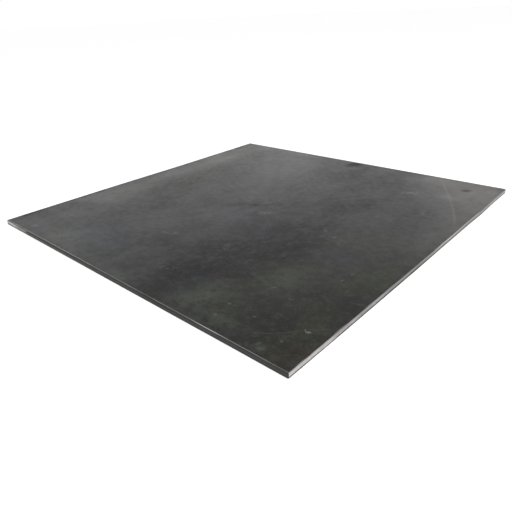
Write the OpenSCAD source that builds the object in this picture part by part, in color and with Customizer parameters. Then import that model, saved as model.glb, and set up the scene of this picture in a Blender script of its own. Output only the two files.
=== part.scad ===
// Square steel plate, cut from hot-rolled wide flat and lying on its face.
// X runs between the two sheared ends, Y between the two rolled edges, Z is up.
// The origin is the centre of the underside. All sizes are in millimetres.

/* [Plate] */
// Length between the sheared ends
plate_l = 500; // [100:5:2000]
// Width between the rolled edges, the width of the flat
plate_w = 500; // [100:5:1250]
// Thickness as rolled
plate_t = 6; // [4:0.5:15]

/* [Sheared ends] */
// Radius of the roll-over, where the blade pressed the face in before it cut
rollover_r = 0.6; // [0.2:0.1:1]
// Height of the rough fracture that broke away ahead of the blade
fracture_h = 1.8; // [0.5:0.1:2.5]
// How far the fracture runs back under the burnished land, the clearance of the blades
fracture_run = 0.4; // [0.1:0.05:1]

/* [Rolled edges] */
// Radius that the edging rolls leave along each long arris
arris_r = 0.8; // [0.2:0.1:1.5]

/* [Corners] */
// Radius to which the four corners are blunted, seen from above
corner_r = 1.5; // [0.5:0.1:10]

/* [Hidden] */
$fn = 64;
half_l = plate_l / 2;
half_w = plate_w / 2;
// How far a cut runs on past the surface that it opens
past = 1;

// What rounding takes off an outside corner at the origin, with the steel toward -X and -Y
module corner_waste(r) {
    translate([-r, -r])
        difference() {
            square(r + past);
            circle(r);
        }
}

// Section along the length: each end has a roll-over, an upright burnished land and a fracture.
// One cut held this piece on the shear bed and the other dropped it, so the -X end is the
// +X end upside down.
module sheared_section() {
    difference() {
        polygon([
            [-half_l, 0],
            [half_l - fracture_run, 0],
            [half_l, fracture_h],
            [half_l, plate_t],
            [-half_l + fracture_run, plate_t],
            [-half_l, plate_t - fracture_h]
        ]);
        translate([half_l, plate_t]) corner_waste(rollover_r);
        translate([-half_l, 0]) rotate(180) corner_waste(rollover_r);
    }
}

// Section across the width: square rolled edges with all four arrises eased
module rolled_section() {
    difference() {
        translate([-half_w, 0]) square([plate_w, plate_t]);
        translate([half_w, plate_t]) corner_waste(arris_r);
        translate([-half_w, plate_t]) rotate(90) corner_waste(arris_r);
        translate([-half_w, 0]) rotate(180) corner_waste(arris_r);
        translate([half_w, 0]) rotate(270) corner_waste(arris_r);
    }
}

// The four slivers that blunting takes off the corners, right through the thickness
module blunted_corners() {
    translate([0, 0, -past])
        linear_extrude(plate_t + 2 * past) {
            translate([half_l, half_w]) corner_waste(corner_r);
            translate([-half_l, half_w]) rotate(90) corner_waste(corner_r);
            translate([-half_l, -half_w]) rotate(180) corner_waste(corner_r);
            translate([half_l, -half_w]) rotate(270) corner_waste(corner_r);
        }
}

// The plate, one solid piece of stock
module plate() {
    color("dimgray")
        difference() {
            intersection() {
                rotate([90, 0, 0])
                    linear_extrude(plate_w + 2 * past, center = true) sheared_section();
                rotate([90, 0, 90])
                    linear_extrude(plate_l + 2 * past, center = true) rolled_section();
            }
            blunted_corners();
        }
}

plate();
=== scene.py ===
"""Square hot-rolled steel plate, lying flat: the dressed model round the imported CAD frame.

Metres, in the CAD's frame: +Z is up, the origin is the centre of the underside, the sheared ends
are at +X and -X and the rolled edges at +Y and -Y. The camera looks over the corner at +X, -Y.
"""

import math

import bpy
import numpy as np
from mathutils import Matrix, Vector, noise


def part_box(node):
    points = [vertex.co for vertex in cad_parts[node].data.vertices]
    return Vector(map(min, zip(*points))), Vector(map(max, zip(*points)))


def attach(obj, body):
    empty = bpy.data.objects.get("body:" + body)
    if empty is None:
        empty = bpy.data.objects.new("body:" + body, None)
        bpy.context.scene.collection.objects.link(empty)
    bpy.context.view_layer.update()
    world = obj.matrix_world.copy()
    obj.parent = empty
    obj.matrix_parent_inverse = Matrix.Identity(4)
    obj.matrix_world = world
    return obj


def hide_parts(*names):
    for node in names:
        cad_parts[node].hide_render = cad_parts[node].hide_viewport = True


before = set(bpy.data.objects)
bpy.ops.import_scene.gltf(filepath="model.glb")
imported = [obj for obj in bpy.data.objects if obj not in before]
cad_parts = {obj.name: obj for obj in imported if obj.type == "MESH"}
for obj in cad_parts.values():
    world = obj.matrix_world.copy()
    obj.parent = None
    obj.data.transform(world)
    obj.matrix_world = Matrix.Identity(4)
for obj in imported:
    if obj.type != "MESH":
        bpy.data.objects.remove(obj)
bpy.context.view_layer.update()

MM = 0.001
PLATE_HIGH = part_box("plate")[1]
HALF_L = PLATE_HIGH.x
HALF_W = PLATE_HIGH.y
THICK = PLATE_HIGH.z

# Edge sizes, as in the CAD
ROLLOVER = 0.6 * MM
FRACTURE_H = 1.8 * MM
FRACTURE_RUN = 0.4 * MM
ARRIS = 0.8 * MM

# Corner radii, each after its side in the order +X, +Y, -X, -Y: the first and third are knocked blunt
CORNERS = [4.0 * MM, 1.5 * MM, 2.5 * MM, 1.2 * MM]

# How far in each cut runs from its line: place along Y and inset, both in mm
NEAR_CUT = [
    (-250, 0.15), (-215, 0.2), (-190, 0), (-40, 0), (60, 0.2),
    (115, 0.5), (150, 0.3), (205, 1.6), (250, 1.6),
]
FAR_CUT = [(-250, 0), (-60, 0), (40, 1.2), (200, 1.2), (250, 0.4)]

# Knocks on the upper arris of the +X end: place along Y, half length, depth, all in mm
KNOCKS = [
    (-235, 7, 0.4), (-226, 10, 0.35), (-180, 15, 0.9),
    (-132, 9, 0.4), (-92, 10, 0.5), (30, 8, 0.3),
]

# Unevenness of the edges: the length of its swells, and how much they add
ROLL_SWELL = 35 * MM
ROLL_UNEVEN = 0.3
FOOT_SWELL = 25 * MM
FOOT_UNEVEN = 0.4 * MM
FOOT_RIPPLE = 5 * MM
RIPPLE_UNEVEN = 0.2 * MM
TEAR_SIZE = 2.5 * MM
TEAR_DEPTH = 0.07 * MM
ARRIS_SWELL = 40 * MM
ARRIS_UNEVEN = 0.2

# Where along Y the fracture is higher and runs further in, how gently, and how much higher
HIGH_PLACE = -10 * MM
HIGH_SPAN = 115 * MM
HIGH_EXTRA = 1.0 * MM
RUN_PLACE = 60 * MM
RUN_SPAN = 60 * MM
RUN_CURVE = 0.8

# Mesh: spacing along the edges, round a corner, down the edge, and over the two faces
EDGE_STEP = 1.25 * MM
CORNER_STEPS = 5
ARC_STEPS = 5
LAND_STEPS = 4
BREAK_STEPS = 6
TOP_CELL = 3 * MM
UNDER_CELL = 8 * MM
FACE_MARGIN = 6 * MM
SHARP_ANGLE = math.radians(40)
RINGS = ARC_STEPS + LAND_STEPS + BREAK_STEPS + 1

# Places of the finishes on the mesh
MILL_SCALE, EDGE_SCALE, BURNISHED, TORN = range(4)

# Handling dents in the top face: x, y, radius, depth, all in mm
DENTS = [
    (209, 214, 8, 0.35),
    (230, -199, 4, 0.12),
    (-6, -7, 7, 0.10),
    (-120, 60, 14, 0.06),
]
WAVE_DEPTH = 0.12 * MM
WAVE_SIZE = 160 * MM
SEED_STEP = 7.3


# Shape

def wobble(place, size, seed):
    """Smooth unevenness from -1 to 1, the same each run, with swells about `size` long."""
    return noise.noise(Vector((place[0], place[1], 0)) / size + Vector((0, 0, SEED_STEP * seed)))


def sheared_edge(place):
    """Inset and height of each ring down a sheared end, from the top face to the underside."""
    roll = ROLLOVER * (1 + ROLL_UNEVEN * wobble(place, ROLL_SWELL, seed=1))
    for middle, half, deep in KNOCKS:
        away = (place[1] / MM - middle) / half
        roll += deep * MM * max(0.0, 1 - away * away) ** 2
    run = FRACTURE_RUN * (1 + max(0.0, math.cos((place[1] - RUN_PLACE) / RUN_SPAN)))
    foot = FRACTURE_H + HIGH_EXTRA * max(0.0, math.cos((place[1] - HIGH_PLACE) / HIGH_SPAN))
    foot += FOOT_UNEVEN * wobble(place, FOOT_SWELL, seed=2)
    foot += RIPPLE_UNEVEN * wobble(place, FOOT_RIPPLE, seed=3)
    rows = []
    for step in range(ARC_STEPS + 1):
        turn = math.pi / 2 * step / ARC_STEPS
        rows.append((roll * (1 - math.sin(turn)), THICK - roll * (1 - math.cos(turn))))
    for step in range(1, LAND_STEPS + 1):
        share = step / LAND_STEPS
        rows.append((0.0, (THICK - roll) * (1 - share) + foot * share))
    for step in range(1, BREAK_STEPS + 1):
        share = step / BREAK_STEPS
        torn = TEAR_DEPTH * wobble((place[0] + 3 * share, place[1]), TEAR_SIZE, seed=4 + step)
        rows.append((max(0.0, run * share ** RUN_CURVE + torn), foot * (1 - share)))
    return np.array(rows)


def rolled_edge(place):
    """Inset and height of each ring down a rolled edge: two eased arrises and a flat between."""
    upper = ARRIS * (1 + ARRIS_UNEVEN * wobble(place, ARRIS_SWELL, seed=11))
    lower = ARRIS * (1 + ARRIS_UNEVEN * wobble(place, ARRIS_SWELL, seed=12))
    rows = []
    for step in range(ARC_STEPS + 1):
        turn = math.pi / 2 * step / ARC_STEPS
        rows.append((upper * (1 - math.sin(turn)), THICK - upper * (1 - math.cos(turn))))
    for step in range(1, LAND_STEPS + 1):
        share = step / (LAND_STEPS + 1)
        rows.append((0.0, (THICK - upper) * (1 - share) + lower * share))
    for step in range(BREAK_STEPS):
        turn = math.pi / 2 * step / (BREAK_STEPS - 1)
        rows.append((lower * (1 - math.cos(turn)), lower * (1 - math.sin(turn))))
    return np.array(rows)


def wander(along, cut):
    """How far a cut has run in from its line."""
    places, insets = zip(*cut)
    return MM * np.interp(along / MM, places, insets)


def edge_of_side(side, place):
    """Ring insets and heights on a side: 0 is the +X end, then +Y, -X and -Y."""
    if side % 2:
        return rolled_edge(place)
    rows = sheared_edge(place)
    if side == 2:
        return rows[::-1] * (1, -1) + (wander(place[1], FAR_CUT), THICK)
    return rows + (wander(place[1], NEAR_CUT), 0)


def outline():
    """Stations round the plate, anticlockwise: place, outward direction, rings, sheared or not."""
    stations = []
    for side in range(4):
        facing = math.pi / 2 * side
        out = Vector((math.cos(facing), math.sin(facing)))
        along = Vector((-out.y, out.x))
        reach, half = (HALF_W, HALF_L) if side % 2 else (HALF_L, HALF_W)
        start, end = CORNERS[side - 1] - half, half - CORNERS[side]
        count = round((end - start) / EDGE_STEP)
        for step in range(count + 1):
            place = out * reach + along * (start + (end - start) * step / count)
            stations.append((place, out, edge_of_side(side, place), side % 2 == 0))
        centre = out * (reach - CORNERS[side]) + along * end
        for step in range(1, CORNER_STEPS):
            share = step / CORNER_STEPS
            turned = facing + math.pi / 2 * share
            way = Vector((math.cos(turned), math.sin(turned)))
            place = centre + way * CORNERS[side]
            here = edge_of_side(side, place)
            beyond = edge_of_side((side + 1) % 4, place)
            cut = share > 0.5 if side % 2 else share < 0.5
            stations.append((place, way, here * (1 - share) + beyond * share, cut))
    return stations


def sag(x, y):
    """How far the top face lies below its highest level: gentle waves and handling dents."""
    depth = WAVE_DEPTH * 0.5 * (1 + wobble((x, y), WAVE_SIZE, seed=21))
    for dent_x, dent_y, radius, deep in DENTS:
        away = math.hypot(x - dent_x * MM, y - dent_y * MM) / (radius * MM)
        if away < 1:
            depth += deep * MM * (1 - away * away) ** 2
    return depth


def face_grid(cell, height):
    """Points and quads of a flat face inside its margin, and the loop of points round it."""
    counts = [round(2 * (half - FACE_MARGIN) / cell) for half in (HALF_L, HALF_W)]
    xs = np.linspace(-HALF_L + FACE_MARGIN, HALF_L - FACE_MARGIN, counts[0] + 1)
    ys = np.linspace(-HALF_W + FACE_MARGIN, HALF_W - FACE_MARGIN, counts[1] + 1)
    points = [(x, y, height) for y in ys for x in xs]
    wide = len(xs)
    quads = [
        (row * wide + col, row * wide + col + 1, (row + 1) * wide + col + 1, (row + 1) * wide + col)
        for row in range(len(ys) - 1)
        for col in range(wide - 1)
    ]
    last = len(ys) - 1
    loop = [row * wide + wide - 1 for row in range(last)]
    loop += [last * wide + col for col in range(wide - 1, 0, -1)]
    loop += [row * wide for row in range(last, 0, -1)]
    loop += list(range(wide - 1))
    return points, quads, loop


def zip_loops(points, outer, inner):
    """Triangles between two loops that both run anticlockwise from the corner at +X, -Y."""
    faces = []
    a = b = 0
    while a < len(outer) or b < len(inner):
        here, there = outer[a % len(outer)], inner[b % len(inner)]
        next_out, next_in = outer[(a + 1) % len(outer)], inner[(b + 1) % len(inner)]
        by_out = (points[next_out] - points[there]).length if a < len(outer) else math.inf
        by_in = (points[next_in] - points[here]).length if b < len(inner) else math.inf
        if by_out < by_in:
            faces.append((here, next_out, there))
            a += 1
        else:
            faces.append((here, next_in, there))
            b += 1
    return faces


def ring_finish(sheared, ring, far_end):
    """Which finish a band between two rings has: bare steel on a cut, scale on a rolled edge."""
    if not sheared:
        return EDGE_SCALE
    if far_end:
        ring = RINGS - 2 - ring
    return BURNISHED if ring < ARC_STEPS + LAND_STEPS else TORN


def crease_arrises(mesh, count):
    """Keeps the faces' shading flat right up to the arrises, over the given count of stations."""
    for edge in mesh.edges:
        (station, ring), (beyond, other) = [divmod(corner, RINGS) for corner in edge.vertices]
        if max(station, beyond) < count and ring == other and ring in (0, RINGS - 1):
            edge.use_edge_sharp = True


def make_plate(finishes):
    """The plate as one closed skin: edge rings all round, joined to a grid on each face."""
    stations = outline()
    count = len(stations)
    points = []
    for place, out, rows, _ in stations:
        for inset, height in rows:
            points.append(Vector((*(place - out * inset), height)))
    faces = []
    marks = []
    for station in range(count):
        beyond = (station + 1) % count
        sheared = stations[station][3] and stations[beyond][3]
        far_end = stations[station][0].x < 0
        for ring in range(RINGS - 1):
            upper, lower = station * RINGS + ring, beyond * RINGS + ring
            faces.append((upper, upper + 1, lower + 1, lower))
            marks.append(ring_finish(sheared, ring, far_end))
    flats = ((TOP_CELL, THICK, 0, True), (UNDER_CELL, 0.0, RINGS - 1, False))
    for cell, height, ring, upward in flats:
        grid, quads, loop = face_grid(cell, height)
        base = len(points)
        points += [Vector(point) for point in grid]
        patch = [tuple(base + corner for corner in quad) for quad in quads]
        border = [station * RINGS + ring for station in range(count)]
        patch += zip_loops(points, border, [base + corner for corner in loop])
        faces += patch if upward else [face[::-1] for face in patch]
        marks += [MILL_SCALE] * len(patch)
    for point in points:
        point.z -= sag(point.x, point.y) * point.z / THICK

    mesh = bpy.data.meshes.new("steel_plate")
    mesh.from_pydata(points, [], faces)
    for finish in finishes:
        mesh.materials.append(finish)
    mesh.polygons.foreach_set("material_index", marks)
    mesh.polygons.foreach_set("use_smooth", [True] * len(faces))
    mesh.set_sharp_from_angle(angle=SHARP_ANGLE)
    crease_arrises(mesh, count)
    mesh.validate()
    plate = bpy.data.objects.new("steel_plate", mesh)
    bpy.context.collection.objects.link(plate)
    return plate


# Shader building blocks

def feed(tree, socket, value):
    """Gives an input a link or a constant."""
    if isinstance(value, bpy.types.NodeSocket):
        tree.links.new(value, socket)
    elif value is not None:
        socket.default_value = value


def add(tree, kind, inputs=None, **settings):
    """A node with its settings made and its inputs fed, by name or by rank."""
    node = tree.nodes.new(kind)
    for name, value in settings.items():
        setattr(node, name, value)
    for name, value in (inputs or {}).items():
        feed(tree, node.inputs[name], value)
    return node


def calc(tree, operation, a, b=None, clamp=False):
    """One step of arithmetic."""
    return add(tree, "ShaderNodeMath", {0: a, 1: b}, operation=operation, use_clamp=clamp).outputs[0]


def weigh(tree, terms):
    """The sum of some values, each times its weight, taken one by one as they come."""
    total = 0.0
    for value, weight in terms:
        step = {0: value, 1: weight, 2: total}
        total = add(tree, "ShaderNodeMath", step, operation="MULTIPLY_ADD").outputs[0]
    return total


def distance(tree, value, middle):
    """How far a value is from a middle, either way."""
    return calc(tree, "ABSOLUTE", calc(tree, "SUBTRACT", value, middle))


def ramp(tree, value, start, end, low=0.0, high=1.0, smooth=True):
    """Runs a value from low to high as it goes from start to end."""
    kind = "SMOOTHSTEP" if smooth else "LINEAR"
    inputs = {"Value": value, "From Min": start, "From Max": end, "To Min": low, "To Max": high}
    return add(tree, "ShaderNodeMapRange", inputs, interpolation_type=kind).outputs["Result"]


def layer(tree, mask, under, over, blend="MIX"):
    """Lays one colour over another by a mask."""
    inputs = {"Factor": mask, "A": under, "B": over}
    node = add(tree, "ShaderNodeMix", data_type="RGBA", blend_type=blend, clamp_factor=True)
    for name, value in inputs.items():
        socket = next(s for s in node.inputs if s.name == name and s.enabled)
        feed(tree, socket, value)
    return next(s for s in node.outputs if s.enabled)


def blend_value(tree, mask, under, over):
    """Blends one value into another by a mask."""
    return ramp(tree, mask, 0.0, 1.0, under, over, smooth=False)


def cloud(tree, place, scale, detail, rough):
    """Even noise, with so many swells to the metre, as a value and a colour."""
    inputs = {"Vector": place, "Scale": scale, "Detail": detail, "Roughness": rough}
    return add(tree, "ShaderNodeTexNoise", inputs).outputs


def mottle(tree, place, size, detail=3.0, rough=0.55):
    """The noise as a value about a half, with swells about `size` metres across."""
    return cloud(tree, place, 1 / size, detail, rough)["Fac"]


def swell(tree, place, size, detail=3.0, rough=0.55):
    """The same as a value about nought."""
    return calc(tree, "SUBTRACT", mottle(tree, place, size, detail, rough), 0.5)


def drifted(tree, place, size, reach):
    """The place pushed about sideways by noise, which gives patches ragged outlines."""
    colour = cloud(tree, place, 1 / size, 5.0, 0.6)["Color"]
    halves = {0: colour, 1: (0.5, 0.5, 0.5)}
    centred = add(tree, "ShaderNodeVectorMath", halves, operation="SUBTRACT").outputs[0]
    shift = stretched(tree, centred, reach, reach, 0.0)
    return add(tree, "ShaderNodeVectorMath", {0: place, 1: shift}, operation="ADD").outputs[0]


def stretched(tree, place, along_x, along_y, along_z):
    """The place with each axis drawn out or packed."""
    inputs = {0: place, 1: (along_x, along_y, along_z)}
    return add(tree, "ShaderNodeVectorMath", inputs, operation="MULTIPLY").outputs[0]


def start_group(name, inputs, outputs):
    """An empty shader group with named sockets."""
    group = bpy.data.node_groups.new(name, "ShaderNodeTree")
    for socket_name, kind in inputs:
        group.interface.new_socket(socket_name, in_out="INPUT", socket_type="NodeSocket" + kind)
    for socket_name, kind in outputs:
        group.interface.new_socket(socket_name, in_out="OUTPUT", socket_type="NodeSocket" + kind)
    entry = group.nodes.new("NodeGroupInput").outputs
    exit_ = group.nodes.new("NodeGroupOutput").inputs
    return group, entry, exit_


def use(tree, group, **inputs):
    """Places a group and feeds its inputs, with spaces in their names written as underscores."""
    node = tree.nodes.new("ShaderNodeGroup")
    node.node_tree = group
    for name, value in inputs.items():
        feed(tree, node.inputs[name.replace("_", " ")], value)
    return node.outputs


def turned_axes(tree, place, start, turn):
    """How far a place is from a start, along a turned line and across it, seen from above."""
    offset = add(tree, "ShaderNodeVectorMath", {0: place, 1: start}, operation="SUBTRACT").outputs[0]
    cosine, sine = calc(tree, "COSINE", turn), calc(tree, "SINE", turn)
    backward = calc(tree, "MULTIPLY", sine, -1.0)
    ways = ({"X": cosine, "Y": sine}, {"X": backward, "Y": cosine})
    parts = []
    for way in ways:
        axis = add(tree, "ShaderNodeCombineXYZ", way).outputs[0]
        reach = add(tree, "ShaderNodeVectorMath", {0: offset, 1: axis}, operation="DOT_PRODUCT")
        parts.append(reach.outputs["Value"])
    return parts


def soft_patch_group():
    """A soft oval patch, seen from above."""
    group, entry, exit_ = start_group(
        "soft_patch",
        [("Place", "Vector"), ("Centre", "Vector"), ("Turn", "Float"),
         ("Half length", "Float"), ("Half width", "Float")],
        [("Mask", "Float")],
    )
    along, across = turned_axes(group, entry["Place"], entry["Centre"], entry["Turn"])
    along = calc(group, "DIVIDE", along, entry["Half length"])
    across = calc(group, "DIVIDE", across, entry["Half width"])
    squares = weigh(group, [(along, along), (across, across)])
    feed(group, exit_["Mask"], ramp(group, calc(group, "SQRT", squares), 1.0, 0.0))
    return group


def scratch_group():
    """A thin bowed scratch that fades at both ends, seen from above."""
    group, entry, exit_ = start_group(
        "scratch",
        [("Place", "Vector"), ("Start", "Vector"), ("Turn", "Float"), ("Length", "Float"),
         ("Bow", "Float"), ("Half width", "Float")],
        [("Mask", "Float")],
    )
    along, across = turned_axes(group, entry["Place"], entry["Start"], entry["Turn"])
    along = calc(group, "DIVIDE", along, entry["Length"])
    left = calc(group, "SUBTRACT", 1.0, along)
    arch = calc(group, "MULTIPLY", calc(group, "MULTIPLY", along, left), 4.0)
    curve = calc(group, "MULTIPLY", arch, entry["Bow"])
    across = distance(group, across, curve)
    line = ramp(group, calc(group, "DIVIDE", across, entry["Half width"]), 1.0, 0.0)
    middle = distance(group, along, 0.5)
    feed(group, exit_["Mask"], calc(group, "MULTIPLY", line, ramp(group, middle, 0.5, 0.4)))
    return group


def grain_group():
    """Rolled or drawn steel grain: a fine streaky tone and a height for bump."""
    group, entry, exit_ = start_group(
        "steel_grain",
        [("Place", "Vector"), ("Size", "Float")],
        [("Tone", "Float"), ("Height", "Float")],
    )
    scale = calc(group, "DIVIDE", 1.0, entry["Size"])
    fine = cloud(group, entry["Place"], scale, 2.0, 0.6)["Fac"]
    coarse = cloud(group, entry["Place"], calc(group, "MULTIPLY", scale, 0.17), 3.0, 0.6)["Fac"]
    feed(group, exit_["Tone"], weigh(group, [(fine, 0.5), (coarse, 0.5)]))
    feed(group, exit_["Height"], weigh(group, [(fine, 0.35), (coarse, 1.0)]))
    return group


def rust_group():
    """Light surface rust: a speckled mask and its uneven brown."""
    group, entry, exit_ = start_group(
        "light_rust",
        [("Place", "Vector"), ("Size", "Float"), ("Amount", "Float")],
        [("Mask", "Float"), ("Colour", "Color")],
    )
    scale = calc(group, "DIVIDE", 1.0, entry["Size"])
    bloom = cloud(group, entry["Place"], scale, 6.0, 0.7)["Fac"]
    edge = calc(group, "SUBTRACT", 0.78, calc(group, "MULTIPLY", entry["Amount"], 0.3))
    mask = ramp(group, calc(group, "SUBTRACT", bloom, edge), 0.0, 0.12)
    feed(group, exit_["Mask"], mask)
    feed(group, exit_["Colour"], layer(group, bloom, RUST_DARK, RUST_PALE))
    return group


# Finishes

# Lighter and darker clouds in the scale of the top face:
# x, y, half length, half width in mm, turn in degrees, lift
CLOUDS = [
    (-75, 150, 110, 75, 120, 0.24),
    (-25, 40, 80, 50, 70, 0.1),
    (-27, -60, 75, 40, 10, 0.16),
    (-110, 215, 80, 50, 0, 0.2),
    (-212, 130, 100, 34, 88, 0.28),
    (-220, 30, 70, 24, 90, 0.22),
    (-215, -75, 70, 40, 90, 0.18),
    (-210, -122, 60, 36, 20, 0.22),
    (-80, -120, 60, 45, 60, 0.12),
    (205, 195, 110, 80, 100, 0.54),
    (236, 75, 150, 48, 92, 0.40),
    (160, 228, 70, 35, 0, 0.32),
    (9, 234, 26, 16, 80, -0.6),
    (28, 190, 90, 45, 100, -0.20),
    (80, 165, 100, 55, 80, -0.10),
    (115, 75, 70, 52, 60, -0.16),
    (90, 10, 110, 60, 90, -0.08),
    (-164, 25, 140, 34, 88, -0.14),
    (-142, -85, 100, 40, 95, -0.05),
    (-170, 145, 60, 36, 0, 0.12),
    (105, -60, 110, 75, 110, -0.20),
    (128, -95, 120, 36, 88, -0.30),
    (80, -168, 40, 32, 90, -0.12),
    (20, -150, 62, 56, 0, -0.12),
    (48, -195, 40, 26, 90, -0.15),
    (145, -10, 50, 30, 0, -0.14),
    (115, -150, 50, 34, 90, -0.14),
    (25, -60, 60, 60, 0, -0.06),
    (60, -80, 90, 60, 60, -0.16),
    (90, -130, 65, 50, 80, -0.3),
    (55, -150, 75, 40, 90, -0.22),
    (70, -215, 75, 46, 85, -0.52),
    (-5, -158, 34, 22, 0, -0.16),
    (200, -205, 60, 44, 90, -0.34),
    (240, -135, 50, 28, 90, -0.3),
    (-240, -222, 46, 24, 90, -0.16),
    (-150, 240, 120, 22, 0, 0.16),
    (190, 240, 60, 18, 0, 0.14),
    (-150, -236, 120, 18, 0, 0.12),
    (-238, 130, 120, 26, 89, 0.25),
    (-240, -110, 80, 22, 90, 0.15),
    (0, -8, 60, 14, 5, -0.10),
    (-35, -240, 80, 14, 0, 0.25),
    (150, -243, 45, 9, 0, 0.3),
    (222, -243, 30, 8, 0, 0.3),
    (163, -138, 40, 34, 80, 0.26),
    (205, -146, 34, 24, 0, -0.22),
    (100, -176, 110, 32, 0, -0.24),
    (25, -35, 40, 30, 0, -0.08),
    (75, 125, 34, 30, 0, -0.08),
    (-200, -185, 60, 34, 0, 0.12),
    (115, -225, 40, 30, 80, 0.14),
    (-110, -215, 85, 42, 0, 0.2),
]

# Films of light rust and dust that lift the tone, as above, with the film's strength last
BROWN_FILM = [
    (222, 200, 80, 62, 110, 0.6),
    (242, 110, 110, 36, 92, 0.28),
    (240, 226, 26, 18, 60, 0.5),
    (202, 168, 40, 16, -15, 0.4),
    (160, 232, 50, 20, 0, 0.45),
    (192, 101, 16, 5, 120, 0.25),
    (165, 55, 22, 6, 110, 0.2),
]
GREEN_FILM = [
    (-135, -230, 58, 32, 5, 0.65),
    (-25, -210, 55, 16, 85, 0.45),
    (10, -240, 28, 16, 0, 0.6),
    (120, -210, 60, 28, 78, 0.45),
    (158, -145, 40, 28, 70, 0.4),
    (165, -232, 44, 16, 0, 0.35),
    (-215, -120, 45, 30, 20, 0.5),
    (-95, -243, 48, 12, 0, 0.35),
    (232, 15, 50, 20, 90, 0.4),
]
OLIVE_FILM = [
    (-214, 130, 110, 40, 88, 0.36),
    (-210, -65, 85, 44, 85, 0.42),
    (-240, 45, 60, 16, 90, 0.4),
    (-215, 208, 72, 48, 60, 0.55),
    (200, -12, 80, 46, 10, 0.16),
    (-160, 40, 110, 32, 88, 0.20),
]
# Tempering tints of the scale, as above
OLIVE_TINT = [
    (215, -60, 80, 50, 85, 0.6),
    (215, -150, 90, 60, 85, 0.9),
    (240, -110, 120, 34, 90, 0.8),
    (190, -215, 90, 50, 10, 1.0),
    (150, -50, 50, 30, 40, 0.7),
    (150, -112, 54, 36, 0, 0.95),
    (190, -10, 60, 40, 10, 0.6),
    (120, -205, 60, 50, 80, 0.8),
    (146, -158, 56, 46, 80, 1.0),
    (90, -242, 34, 20, 0, 0.9),
    (-205, -60, 60, 34, 85, 0.8),
    (-212, 130, 95, 34, 88, 1.0),
    (-160, 40, 110, 32, 88, 0.5),
]
UMBER_TINT = [
    (238, -232, 48, 34, 60, 1.0),
    (205, -205, 40, 26, 30, 0.6),
    (225, 0, 50, 30, 80, 0.4),
    (205, -130, 30, 20, 0, 0.4),
]
BLUE_TINT = [
    (45, -60, 100, 75, 30, 0.45),
    (-95, -195, 100, 50, 5, 1.0),
    (80, -215, 60, 40, 85, 0.8),
    (-10, 110, 140, 110, 0, 0.45),
    (60, -165, 34, 24, 0, 0.7),
]
PURPLE_TINT = [
    (110, -30, 100, 70, 95, 0.9),
    (60, -90, 70, 50, 70, 0.55),
    (186, -66, 38, 26, 20, 1.0),
    (-120, -70, 100, 60, 80, 0.9),
    (-200, -150, 60, 40, 30, 0.7),
    (90, 120, 130, 65, 75, 0.7),
    (0, -40, 80, 60, 0, 0.35),
]
PALE_SMEARS = [
    (148, 160, 22, 8, 25, 0.95),
    (27, -19, 15, 6, 20, 0.8),
    (-26, -137, 22, 10, 20, 0.35),
    (58, -125, 14, 7, 110, 0.4),
    (7, 106, 6, 4, 0, 0.4),
    (-197, -234, 7, 5, 30, 0.8),
    (193, 178, 7, 4, 120, 0.5),
    (-210, 148, 52, 8, 88, 0.7),
    (-95, 238, 45, 14, 0, 0.6),
    (-230, 212, 34, 18, 80, 0.5),
    (-142, 182, 44, 14, 90, 0.3),
    (150, 239, 34, 12, 0, 0.5),
]
# Small crisp specks, as above
PALE_SPECKS = [
    (231, -199.7, 3.6, 2.4, 30, 0.85),
    (227.3, -198.7, 2.6, 1.3, 130, 0.7),
    (206.2, -109.3, 3.6, 1.6, 75, 0.55),
    (207.6, -93, 4, 1.6, 70, 0.35),
    (220.6, -124.6, 3, 2, 60, 0.25),
    (146.6, -208.9, 3.2, 1.8, 25, 0.35),
    (149.4, -229.8, 2.6, 2, 0, 0.4),
    (179.4, -210.3, 2.6, 2, 40, 0.4),
    (221.1, -223.2, 2.2, 1.8, 0, 0.28),
    (188, -167.9, 3.2, 1.8, 40, 0.3),
    (184.5, -167.2, 2, 1.6, 0, 0.3),
    (161.3, -161, 4.5, 1.8, 30, 0.3),
    (56.6, -121.8, 4, 2.2, 60, 0.3),
    (59.8, -130.2, 3, 2, 0, 0.25),
    (44.5, -201.1, 3, 2.2, 30, 0.4),
    (124, -19.7, 4, 2.4, 150, 0.45),
    (143.9, -30, 3.4, 2.2, 20, 0.5),
    (132.8, -108.4, 3, 2, 30, 0.15),
]
GREEN_SPOTS = [
    (213.7, -240.9, 5.5, 3.4, 20, 1.0),
    (208, -237, 5, 2.6, 70, 0.7),
    (211, -238, 11, 6, 30, 0.3),
]
DARK_MARKS = [
    (207, 211, 11, 8, 30, 0.85),
    (-6, -7, 13, 5, 40, 0.5),
    (131, -108, 3, 2, 0, 0.6),
]
# More and less of the rubbed line beside the front edge, as above
RUBBED = [
    # The strong row at x 160 is part of the painted glint there.
    (160, -250, 30, 8, 0, 1.6),
    (-216, -250, 22, 8, 0, 0.5),
    (-190, -250, 30, 8, 0, 0.2),
    (-90, -250, 95, 8, 0, 0.6),
    (205, -250, 34, 8, 0, 0.35),
    (242, -250, 30, 8, 0, -0.4),
]
# Where a painted glint lies on that line, as above
GLINT_ON_LINE = [
    (162, -250, 26, 8, 0, 0.95),
]
# More and less of the rubbed arris, and lighter and darker stretches, of the front edge, as above
EDGE_WORN = [
    (-115, -250, 60, 8, 0, -0.2),
    (96, -250, 18, 8, 0, -0.25),
    (162, -250, 24, 8, 0, 0.8),
    (202, -250, 34, 8, 0, 0.2),
]
EDGE_CLOUDS = [
    (-100, -250, 60, 8, 0, -0.15),
    (-8, -250, 34, 8, 0, 0.25),
    (70, -250, 34, 8, 0, -0.3),
    (160, -250, 18, 8, 0, 0.35),
    (218, -250, 40, 8, 0, 0.25),
]
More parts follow.
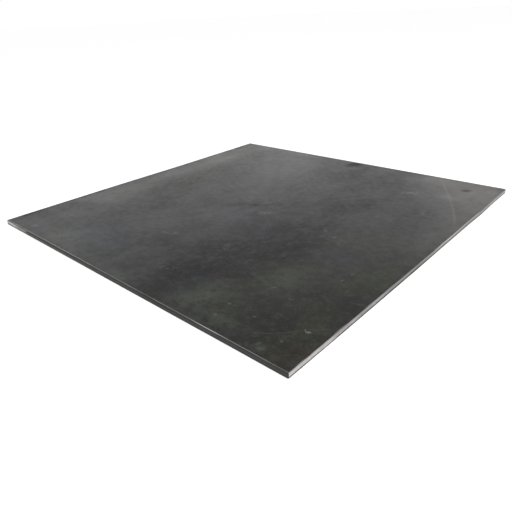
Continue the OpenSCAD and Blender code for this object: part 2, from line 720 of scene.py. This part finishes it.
# Duller and brighter stretches of the +X end, and a dark nick in its arris, as above
END_DULLED = [
    (250, 98, 60, 12, 90, 0.45),
    (250, -33, 14, 12, 90, 0.3),
    (250, -207, 9, 12, 90, 0.25),
]
END_BRIGHTENED = [
    (250, -118, 28, 12, 90, 0.35),
]
END_NICKS = [
    (250, -224, 10, 12, 90, 0.8),
]
# Scratches: start x, y, length in mm, turn in degrees, bow and half width in mm, strength
SCRATCHES = [
    (162, 231, 172, -62, 5, 2.8, 0.24),
    (192, -230, 47, 42.3, -2.8, 0.45, 0.35),
    (226, -199.5, 24, 40, 0.8, 0.4, 0.28),
    (-90, -30, 60, 160, 2, 0.4, 0.15),
    (60, 20, 90, -20, 5, 0.4, 0.12),
    (-160, -120, 80, 15, -3, 0.4, 0.12),
]

SCALE_DARK = (0.006, 0.006, 0.0055, 1)
SCALE_PALE = (0.045, 0.046, 0.046, 1)
SCALE_TONE = 0.31
SCALE_CONTRAST = 1.2
SCALE_GLOSSY = 0.285
SCALE_MATT = 0.60
BROWN = (0.150, 0.130, 0.116, 1)
GREEN = (0.065, 0.080, 0.063, 1)
OLIVE_DUST = (0.055, 0.062, 0.032, 1)
OLIVE = (0.88, 1.06, 0.28, 1)
UMBER = (1.16, 0.98, 0.50, 1)
BLUE = (0.74, 0.95, 1.50, 1)
PURPLE = (1.08, 0.85, 1.50, 1)
PALE = (0.20, 0.205, 0.20, 1)
WARM_PALE = (0.225, 0.215, 0.20, 1)
FLECK = (0.065, 0.065, 0.064, 1)
EDGE_DARK = (0.006, 0.006, 0.0055, 1)
EDGE_PALE = (0.036, 0.038, 0.034, 1)
ARRIS_STEEL = (0.36, 0.38, 0.345, 1)
GROUND_STEEL = (0.56, 0.55, 0.525, 1)
GROUND_DULL = (0.28, 0.272, 0.258, 1)
GROUND_TAN = (0.19, 0.172, 0.138, 1)
GROUND_BROWN = (0.11, 0.09, 0.066, 1)
BARE_STEEL = (0.47, 0.447, 0.438, 1)
DULL_STEEL = (0.21, 0.203, 0.196, 1)
GLINT_AND_RUBBED_STEEL = (0.52, 0.51, 0.495, 1)
# The next colour is used only for painted glints.
GLINT_STEEL = (0.62, 0.61, 0.595, 1)
TORN_DARK = (0.016, 0.0155, 0.015, 1)
TORN_PALE = (0.10, 0.096, 0.092, 1)
RUST_DARK = (0.10, 0.045, 0.02, 1)
RUST_PALE = (0.22, 0.12, 0.06, 1)

# The rubbed line: where it starts, is full and ends, in from the rolled edge, and its drift along X
LINE_START = 2.1 * MM
LINE_FULL = 1.6 * MM, 1.3 * MM
LINE_END = 1.0 * MM
LINE_DRIFT = -0.0028

# Places along X on the front edge: its ground end, that end's bright part, and the lighter stretch
# along its foot
GROUND_FADE = -187 * MM, -199 * MM
GROUND_LEAN = -2.0
BRIGHT_FADE = -234 * MM, -206 * MM
FOOT_LIFT_FADE = 20 * MM, -180 * MM

# Places along Y on the +X end: where it dulls, where its painted glints lie on its face and on its
# ridge, where it was knocked, and where it brightens toward the back
DULL_FADE = -240 * MM, -110 * MM
GLINT_PLACE = 48 * MM
RIDGE_PLACE = 105 * MM
KNOCK_PLACE = -180 * MM
BACK_FADE = 165 * MM, 215 * MM


def new_finish(name):
    """A material with an empty tree: the tree, its shader and the object's own coordinates."""
    finish = bpy.data.materials.new(name)
    finish.use_nodes = True
    tree = finish.node_tree
    tree.nodes.clear()
    shader = tree.nodes.new("ShaderNodeBsdfPrincipled")
    feed(tree, tree.nodes.new("ShaderNodeOutputMaterial").inputs["Surface"], shader.outputs[0])
    place = tree.nodes.new("ShaderNodeTexCoord").outputs["Object"]
    return finish, tree, shader.inputs, place


def patches(tree, group, place, rows):
    """The sum of a list of soft patches, each by its strength."""
    def masks():
        for x, y, half_length, half_width, turn, strength in rows:
            patch = use(tree, group, Place=place, Centre=(x * MM, y * MM, 0), Turn=math.radians(turn),
                        Half_length=half_length * MM, Half_width=half_width * MM)
            yield patch["Mask"], strength
    return weigh(tree, masks())


def scratches(tree, group, place, rows):
    """The sum of a list of scratches, each by its strength."""
    def masks():
        for x, y, length, turn, bow, half_width, strength in rows:
            line = use(tree, group, Place=place, Start=(x * MM, y * MM, 0), Turn=math.radians(turn),
                       Length=length * MM, Bow=bow * MM, Half_width=half_width * MM)
            yield line["Mask"], strength
    return weigh(tree, masks())


def bumped(tree, height, strength, depth):
    """The surface's direction as a height bends it."""
    inputs = {"Strength": strength, "Distance": depth, "Height": height}
    return add(tree, "ShaderNodeBump", inputs).outputs["Normal"]


def mill_scale(groups):
    """Dark semi-matte mill scale of the two faces, clouded, tinted and marked on top."""
    finish, tree, shader, place = new_finish("mill_scale")
    split = add(tree, "ShaderNodeSeparateXYZ", {0: place}).outputs
    on_top = ramp(tree, split["Z"], 0.45 * THICK, 0.55 * THICK)
    flat = stretched(tree, place, 1.0, 1.0, 0.0)

    def placed(where, rows):
        return calc(tree, "MULTIPLY", patches(tree, groups["patch"], where, rows), on_top)

    # The clouds are drawn out along Y.
    ragged = drifted(tree, place, 90 * MM, 40 * MM)
    banded = stretched(tree, ragged, 1.0, 0.6, 1.0)
    rolled = stretched(tree, place, 0.3, 1.0, 1.0)
    grain = use(tree, groups["grain"], Place=rolled, Size=1.2 * MM)
    lumps = ramp(tree, mottle(tree, banded, 14 * MM, 4.0, 0.6), 0.3, 0.7, 0.65, 1.35)
    # The scale is darker in broken stretches along the far cut.
    rim = ramp(tree, split["X"], -HALF_L + 10 * MM, -HALF_L + 2 * MM)
    broken_rim = ramp(tree, mottle(tree, banded, 16 * MM, 4.0), 0.4, 0.6)
    rim = calc(tree, "MULTIPLY", rim, broken_rim)
    tone = weigh(tree, [
        (calc(tree, "MULTIPLY", placed(ragged, CLOUDS), lumps), 1.0),
        (rim, -0.4),
        (swell(tree, banded, 90 * MM, 4.0), 0.5),
        (swell(tree, banded, 24 * MM, 5.0, 0.6), 0.3),
        (swell(tree, place, 8 * MM, 4.0, 0.6), 0.55),
    ])
    shade = calc(tree, "ADD", calc(tree, "MULTIPLY", tone, SCALE_CONTRAST), SCALE_TONE, clamp=True)
    colour = layer(tree, shade, SCALE_DARK, SCALE_PALE)
    tints = ((OLIVE, OLIVE_TINT), (UMBER, UMBER_TINT), (BLUE, BLUE_TINT), (PURPLE, PURPLE_TINT))
    for tint, rows in tints:
        colour = layer(tree, placed(ragged, rows), colour, tint, "MULTIPLY")
    for film, rows in ((GREEN, GREEN_FILM), (OLIVE_DUST, OLIVE_FILM)):
        colour = layer(tree, calc(tree, "MULTIPLY", placed(ragged, rows), lumps), colour, film)
    # Fine flecks, pale and dark, lie over the clouds, and the brown film dulls them.
    fine = weigh(tree, [(swell(tree, place, 3 * MM, 5.0), 1.3), (swell(tree, place, 9 * MM), 1.5),
                        (calc(tree, "SUBTRACT", grain["Tone"], 0.5), 0.3)])
    colour = layer(tree, ramp(tree, fine, 0.0, 0.7, 0.0, 0.7, smooth=False), colour, FLECK)
    colour = layer(tree, ramp(tree, fine, 0.0, -0.4, smooth=False), colour, SCALE_DARK)
    colour = layer(tree, calc(tree, "MULTIPLY", placed(ragged, BROWN_FILM), lumps), colour, BROWN)
    # Pinholes, and flakes drawn out by the rolls, show only from close by.
    pitting = mottle(tree, place, 1.3 * MM, 2.0)
    colour = layer(tree, ramp(tree, pitting, 0.63, 0.69, 0.0, 0.8), colour, SCALE_DARK)
    flakes = ramp(tree, mottle(tree, rolled, 1.6 * MM, 3.0), 0.61, 0.67, 0.0, 0.35)
    colour = layer(tree, flakes, colour, FLECK)
    wavy = drifted(tree, place, 12 * MM, 3 * MM)
    colour = layer(tree, placed(wavy, GREEN_SPOTS), colour, GREEN)
    broken = ramp(tree, mottle(tree, place, 7 * MM, 4.0, 0.7), 0.35, 0.7)
    smears = calc(tree, "MULTIPLY", placed(flat, PALE_SMEARS), broken)
    colour = layer(tree, smears, colour, PALE)
    crisp = ramp(tree, mottle(tree, place, 1.8 * MM, 3.0), 0.40, 0.54, 0.5, 1.4)
    specks = placed(drifted(tree, place, 3 * MM, 1.5 * MM), PALE_SPECKS)
    colour = layer(tree, calc(tree, "MULTIPLY", specks, crisp), colour, PALE)
    dark = calc(tree, "MULTIPLY", placed(drifted(tree, place, 6 * MM, 7 * MM), DARK_MARKS), crisp)
    colour = layer(tree, dark, colour, SCALE_DARK)
    lines = calc(tree, "MULTIPLY", scratches(tree, groups["scratch"], wavy, SCRATCHES), on_top)
    faded = ramp(tree, mottle(tree, place, 9 * MM, 3.0), 0.3, 0.55, 0.35, 1.0)
    lines = calc(tree, "MULTIPLY", lines, faded)
    colour = layer(tree, lines, colour, WARM_PALE)

    # Both faces are rubbed to a thin bright line beside the rolled edges, nearer them toward +X.
    edgeward = weigh(tree, [(calc(tree, "ABSOLUTE", split["Y"]), 1.0), (split["X"], LINE_DRIFT)])
    inner = ramp(tree, edgeward, HALF_W - LINE_START, HALF_W - LINE_FULL[0])
    outer = ramp(tree, edgeward, HALF_W - LINE_END, HALF_W - LINE_FULL[1])
    border = calc(tree, "MULTIPLY", inner, outer)
    rubbed = weigh(tree, [(mottle(tree, place, 28 * MM, 4.0), 1.2),
                          (patches(tree, groups["patch"], flat, RUBBED), 1.0)])
    colour = layer(tree, calc(tree, "MULTIPLY", border, rubbed), colour, ARRIS_STEEL)
    # A painted glint lies on that line near x 162.
    bare = calc(tree, "MULTIPLY", border, patches(tree, groups["patch"], flat, GLINT_ON_LINE))
    colour = layer(tree, bare, colour, GLINT_STEEL)

    rough = ramp(tree, tone, -0.8, 0.35, SCALE_MATT, SCALE_GLOSSY)
    rough = calc(tree, "ADD", rough, calc(tree, "MULTIPLY", dark, 0.3), clamp=True)
    feed(tree, shader["Base Color"], colour)
    feed(tree, shader["Roughness"], rough)
    pits = ramp(tree, pitting, 0.54, 0.66)
    relief = weigh(tree, [(swell(tree, place, 5 * MM, 5.0), 1.0), (pits, -0.35)])
    feed(tree, shader["Normal"], bumped(tree, relief, 0.45, 0.04 * MM))
    return finish


def edge_scale(groups):
    """Dark, rougher scale of the rolled edges, with rubbed arrises and one end ground bare."""
    finish, tree, shader, place = new_finish("edge_scale")
    split = add(tree, "ShaderNodeSeparateXYZ", {0: place}).outputs
    rolled = stretched(tree, place, 0.2, 1.0, 1.0)
    flat = stretched(tree, place, 1.0, 1.0, 0.0)
    grain = use(tree, groups["grain"], Place=rolled, Size=0.8 * MM)
    # A faint paler stripe runs along the middle, between the marks of the edging rolls.
    stripe = ramp(tree, distance(tree, split["Z"], 0.58 * THICK), 1.3 * MM, 0.4 * MM)
    tone = weigh(tree, [
        (swell(tree, rolled, 12 * MM, 4.0), 1.5),
        (ramp(tree, grain["Tone"], 0.4, 0.6), 0.45),
        (stripe, 0.3),
        (patches(tree, groups["patch"], flat, EDGE_CLOUDS), 1.0),
    ])
    colour = layer(tree, calc(tree, "ADD", tone, 0.0, clamp=True), EDGE_DARK, EDGE_PALE)
    rust = use(tree, groups["rust"], Place=place, Size=12 * MM, Amount=0.45)
    colour = layer(tree, calc(tree, "MULTIPLY", rust["Mask"], 0.4), colour, rust["Colour"])

    # The upper arris is rubbed a little where it meets the face.
    high = ramp(tree, split["Z"], THICK - 0.3 * MM, THICK - 0.05 * MM)
    rubbed = ramp(tree, mottle(tree, place, 28 * MM, 4.0), 0.3, 0.62, 0.0, 0.4)
    rubbed = calc(tree, "ADD", rubbed, patches(tree, groups["patch"], flat, EDGE_WORN), clamp=True)
    wear = calc(tree, "MULTIPLY", high, rubbed)
    colour = layer(tree, wear, colour, ARRIS_STEEL)

    # One end of the front edge was ground; its boundary leans and its lower half is tanned.
    lean = calc(tree, "MULTIPLY", split["Z"], GROUND_LEAN)
    uneven = calc(tree, "MULTIPLY", mottle(tree, place, 6 * MM, 2.0), 10 * MM)
    reach = weigh(tree, [(split["X"], 1.0), (lean, 1.0), (uneven, 1.0)])
    front = ramp(tree, split["Y"], -HALF_W + 1.0 * MM, -HALF_W + 0.4 * MM)
    ground = calc(tree, "MULTIPLY", ramp(tree, reach, *GROUND_FADE), front)
    worn = calc(tree, "MULTIPLY", swell(tree, place, 4 * MM), 2 * MM)
    tan = ramp(tree, calc(tree, "ADD", split["Z"], worn), 0.55 * THICK, 0.42 * THICK)
    streaks = ramp(tree, grain["Tone"], 0.42, 0.6, 0.0, 0.4)
    bright = layer(tree, ramp(tree, split["X"], *BRIGHT_FADE), GROUND_STEEL, GROUND_DULL)
    bright = layer(tree, streaks, bright, GROUND_DULL)
    tanned = layer(tree, ramp(tree, mottle(tree, rolled, 3 * MM, 4.0), 0.4, 0.65),
                   GROUND_TAN, GROUND_BROWN)
    colour = layer(tree, ground, colour, layer(tree, tan, bright, tanned))
    # The lower half of the front edge is lightened with tan toward -X.
    foot = calc(tree, "MULTIPLY", tan, front)
    lifted_foot = calc(tree, "MULTIPLY", foot, ramp(tree, split["X"], *FOOT_LIFT_FADE))
    colour = layer(tree, calc(tree, "MULTIPLY", lifted_foot, 0.35), colour, GROUND_TAN)

    feed(tree, shader["Base Color"], colour)
    feed(tree, shader["Roughness"], blend_value(tree, wear, 0.68, 0.4))
    feed(tree, shader["Metallic"], calc(tree, "MAXIMUM", calc(tree, "MULTIPLY", wear, 0.6), ground))
    feed(tree, shader["Normal"], bumped(tree, grain["Height"], 0.35, 0.08 * MM))
    return finish


def burnished_steel(groups):
    """Bare steel of the sheared ends where the blade rubbed it: drawn lines from top to bottom."""
    finish, tree, shader, place = new_finish("burnished_steel")
    split = add(tree, "ShaderNodeSeparateXYZ", {0: place}).outputs
    along = split["Y"]
    drawn = stretched(tree, place, 1.0, 1.0, 0.05)
    flat = stretched(tree, place, 1.0, 1.0, 0.0)
    grain = use(tree, groups["grain"], Place=drawn, Size=0.7 * MM)
    # The end is brighter at its front corner and duller along the rest.
    patchy = calc(tree, "MULTIPLY", swell(tree, place, 40 * MM), 90 * MM)
    dull = ramp(tree, calc(tree, "ADD", along, patchy), *DULL_FADE)
    colour = layer(tree, dull, BARE_STEEL, DULL_STEEL)
    # Along its upper part it carries a painted glint, and it is brighter toward its back corner.
    upper = ramp(tree, split["Z"], 0.6 * THICK, 0.95 * THICK)
    glint = ramp(tree, distance(tree, along, GLINT_PLACE), 50 * MM, 16 * MM, 0.2, 1.0)
    back = ramp(tree, along, *BACK_FADE, 0.0, 0.25)
    rubbed = calc(tree, "MAXIMUM", calc(tree, "MULTIPLY", upper, glint), back)
    # A painted glint runs along the crest of its roll-over about the ridge place.
    crest = ramp(tree, split["Z"], THICK - 0.7 * MM, THICK - 0.3 * MM)
    ridge_glint = ramp(tree, distance(tree, along, RIDGE_PLACE), 50 * MM, 25 * MM)
    colour = layer(tree, rubbed, colour, GLINT_AND_RUBBED_STEEL)
    colour = layer(tree, patches(tree, groups["patch"], flat, END_BRIGHTENED), colour, GLINT_AND_RUBBED_STEEL)
    colour = layer(tree, patches(tree, groups["patch"], flat, END_DULLED), colour, TORN_PALE)
    colour = layer(tree, calc(tree, "MULTIPLY", crest, ridge_glint), colour, GLINT_STEEL)
    knocked = ramp(tree, distance(tree, along, KNOCK_PLACE), 18 * MM, 6 * MM, 0.0, 0.35)
    colour = layer(tree, knocked, colour, DULL_STEEL)
    nicked = calc(tree, "MULTIPLY", crest, patches(tree, groups["patch"], flat, END_NICKS))
    colour = layer(tree, nicked, colour, TORN_PALE)
    streak = ramp(tree, grain["Tone"], 0.4, 0.75)
    colour = layer(tree, calc(tree, "MULTIPLY", streak, 0.3), colour, DULL_STEEL)
    rust = use(tree, groups["rust"], Place=place, Size=9 * MM, Amount=0.5)
    colour = layer(tree, calc(tree, "MULTIPLY", rust["Mask"], 0.5), colour, rust["Colour"])

    feed(tree, shader["Base Color"], colour)
    rough = weigh(tree, [(grain["Tone"], 0.25), (dull, 0.1)])
    feed(tree, shader["Roughness"], calc(tree, "ADD", 0.24, rough))
    feed(tree, shader["Metallic"], blend_value(tree, rust["Mask"], 1.0, 0.6))
    feed(tree, shader["Normal"], bumped(tree, grain["Height"], 0.25, 0.08 * MM))
    return finish


def torn_steel(groups):
    """The dull fracture of the sheared ends: dark, granular and unrubbed."""
    finish, tree, shader, place = new_finish("torn_steel")
    torn = stretched(tree, place, 1.0, 1.0, 0.4)
    grain = use(tree, groups["grain"], Place=torn, Size=0.5 * MM)
    grit = ramp(tree, grain["Tone"], 0.38, 0.62)
    tone = weigh(tree, [(swell(tree, place, 18 * MM), 1.2), (grit, 0.7)])
    colour = layer(tree, calc(tree, "SUBTRACT", tone, 0.1, clamp=True), TORN_DARK, TORN_PALE)
    rust = use(tree, groups["rust"], Place=place, Size=6 * MM, Amount=0.6)
    colour = layer(tree, calc(tree, "MULTIPLY", rust["Mask"], 0.5), colour, rust["Colour"])
    feed(tree, shader["Base Color"], colour)
    feed(tree, shader["Roughness"], ramp(tree, grain["Tone"], 0.3, 0.7, 0.5, 0.75))
    feed(tree, shader["Metallic"], blend_value(tree, rust["Mask"], 0.9, 0.4))
    feed(tree, shader["Normal"], bumped(tree, grain["Tone"], 0.7, 0.3 * MM))
    return finish


# Studio

CAMERA_PLACE = Vector((0.4258, -0.4653, 0.2485))
CAMERA_AIM = Vector((0.1014, -0.1216, 0.006))
CAMERA_ROLL = math.radians(-2.94)
CAMERA_LENS = 33.57

FLOOR_HALF = 20.0
FLOOR_TONE = (0.8, 0.8, 0.8, 1)
FLOOR_GLOW = 0.62
FLOOR_DROP = 0.05 * MM
CEILING = 0.365
CEILING_FADE = 0.28, 0.49
LAMP_PLACE = (1.6, -0.5, 1.5)
LAMP_SIZE = 1.2
LAMP_POWER = 22


def make_camera():
    """The camera at the photograph's angle."""
    camera = bpy.data.objects.new("camera", bpy.data.cameras.new("camera"))
    camera.data.lens = CAMERA_LENS
    camera.data.sensor_width = 36.0
    camera.data.clip_end = 100.0
    aimed = (CAMERA_AIM - CAMERA_PLACE).to_track_quat("-Z", "Y").to_matrix()
    turned = aimed @ Matrix.Rotation(CAMERA_ROLL, 3, "Z")
    camera.matrix_world = Matrix.Translation(CAMERA_PLACE) @ turned.to_4x4()
    bpy.context.collection.objects.link(camera)
    bpy.context.scene.camera = camera


def make_floor():
    """A plain white floor, which keeps the plate's shadow."""
    mesh = bpy.data.meshes.new("floor")
    corners = [(-1, -1), (1, -1), (1, 1), (-1, 1)]
    points = [(x * FLOOR_HALF, y * FLOOR_HALF, -FLOOR_DROP) for x, y in corners]
    mesh.from_pydata(points, [], [(0, 1, 2, 3)])
    floor = bpy.data.objects.new("floor", mesh)
    bpy.context.collection.objects.link(floor)
    finish = bpy.data.materials.new("studio_floor")
    finish.use_nodes = True
    tree = finish.node_tree
    tree.nodes.clear()
    matt = add(tree, "ShaderNodeBsdfDiffuse", {"Color": FLOOR_TONE})
    seen = add(tree, "ShaderNodeLightPath").outputs
    direct = calc(tree, "MAXIMUM", seen["Is Camera Ray"], seen["Is Glossy Ray"])
    direct = calc(tree, "MAXIMUM", direct, seen["Is Transmission Ray"])
    glow = add(tree, "ShaderNodeEmission", {"Strength": calc(tree, "MULTIPLY", direct, FLOOR_GLOW)})
    both = add(tree, "ShaderNodeAddShader", {0: matt.outputs[0], 1: glow.outputs[0]})
    feed(tree, tree.nodes.new("ShaderNodeOutputMaterial").inputs["Surface"], both.outputs[0])
    finish.cycles.emission_sampling = "NONE"
    mesh.materials.append(finish)


def make_world():
    """A white surround at eye level under a dimmer ceiling."""
    world = bpy.data.worlds.new("studio")
    world.use_nodes = True
    tree = world.node_tree
    tree.nodes.clear()
    way = add(tree, "ShaderNodeTexCoord").outputs["Generated"]
    up = add(tree, "ShaderNodeSeparateXYZ", {0: way}).outputs["Z"]
    strength = ramp(tree, up, *CEILING_FADE, 1.0, CEILING)
    back = add(tree, "ShaderNodeBackground", {"Color": (1, 1, 1, 1), "Strength": strength})
    feed(tree, tree.nodes.new("ShaderNodeOutputWorld").inputs["Surface"], back.outputs[0])
    bpy.context.scene.world = world


def make_lamp(name, place, aim, size, power):
    """A square soft lamp that points at a place."""
    lamp = bpy.data.lights.new(name, "AREA")
    lamp.shape = "SQUARE"
    lamp.size = size
    lamp.energy = power
    holder = bpy.data.objects.new(name, lamp)
    holder.location = place
    holder.rotation_euler = (Vector(aim) - Vector(place)).to_track_quat("-Z", "Y").to_euler()
    bpy.context.collection.objects.link(holder)


def make_studio():
    """Camera, floor, surround and lamp."""
    make_camera()
    make_floor()
    make_world()
    make_lamp("key_lamp", LAMP_PLACE, (0, 0, 0), LAMP_SIZE, LAMP_POWER)
    bpy.context.scene.view_settings.view_transform = "Standard"


def main():
    """Makes the plate with its finishes, and the studio round it."""
    groups = {
        "patch": soft_patch_group(),
        "scratch": scratch_group(),
        "grain": grain_group(),
        "rust": rust_group(),
    }
    finishes = [make(groups) for make in (mill_scale, edge_scale, burnished_steel, torn_steel)]
    plate = make_plate(finishes)
    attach(plate, "root")
    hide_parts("plate")
    make_studio()


main()
